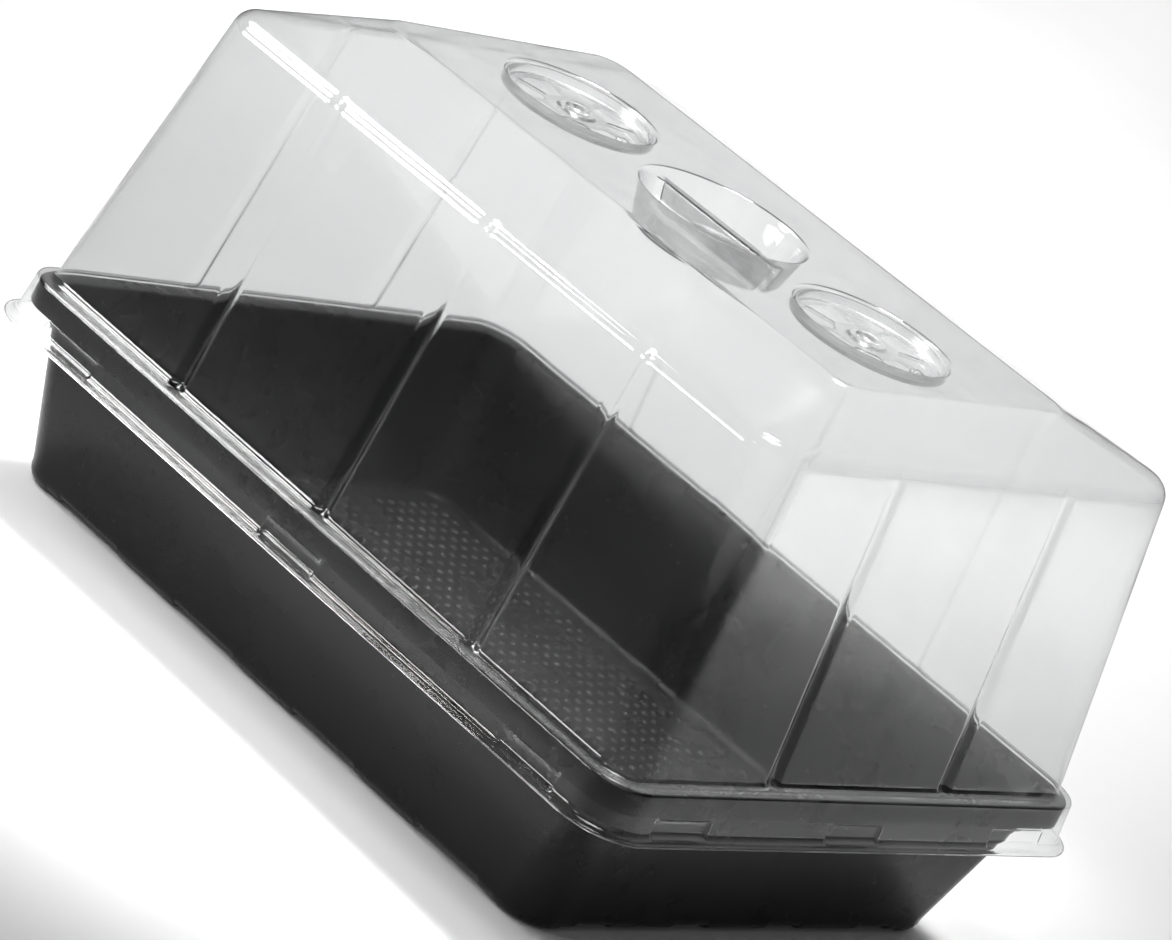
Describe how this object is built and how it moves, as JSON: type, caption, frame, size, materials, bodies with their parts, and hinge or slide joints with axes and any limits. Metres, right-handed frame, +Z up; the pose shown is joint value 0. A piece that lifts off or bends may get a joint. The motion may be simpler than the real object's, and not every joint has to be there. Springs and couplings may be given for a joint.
{
  "type": "humidity dome tray",
  "caption": "Deep rectangular seed tray under a tall clear lift-off dome with rotary roof vents and a recessed hand grip, for keeping seedlings and cuttings humid.",
  "frame": {"origin": "on the ground, under the middle of the tray, at the level of the tray's corner feet", "axes": "+X along the tray's length, +Y across its width, +Z up"},
  "size_m": [0.507, 0.397, 0.2963],
  "materials": {
    "black_plastic": "satin moulded black polypropylene",
    "clear_plastic": "clear glossy moulded polystyrene"
  },
  "bodies": {
    "tray": {"tray": "black_plastic"},
    "dome": {"dome": "clear_plastic", "left_vent_stud": "clear_plastic", "right_vent_stud": "clear_plastic"},
    "left_vent": {"left_vent_disc": "clear_plastic"},
    "right_vent": {"right_vent_disc": "clear_plastic"}
  },
  "joints": [
    {"name": "dome_lift", "type": "slide", "parent": "tray", "child": "dome", "axis": [0, 0, 1], "range_m": [0, 0.25]},
    {"name": "left_vent_turn", "type": "hinge", "parent": "dome", "child": "left_vent", "pos_m": [-0.115, 0, 0.2905], "axis": [0, 0, 1], "range_deg": [0, 45]},
    {"name": "right_vent_turn", "type": "hinge", "parent": "dome", "child": "right_vent", "pos_m": [0.115, 0, 0.2905], "axis": [0, 0, 1], "range_deg": [0, 45]}
  ]
}
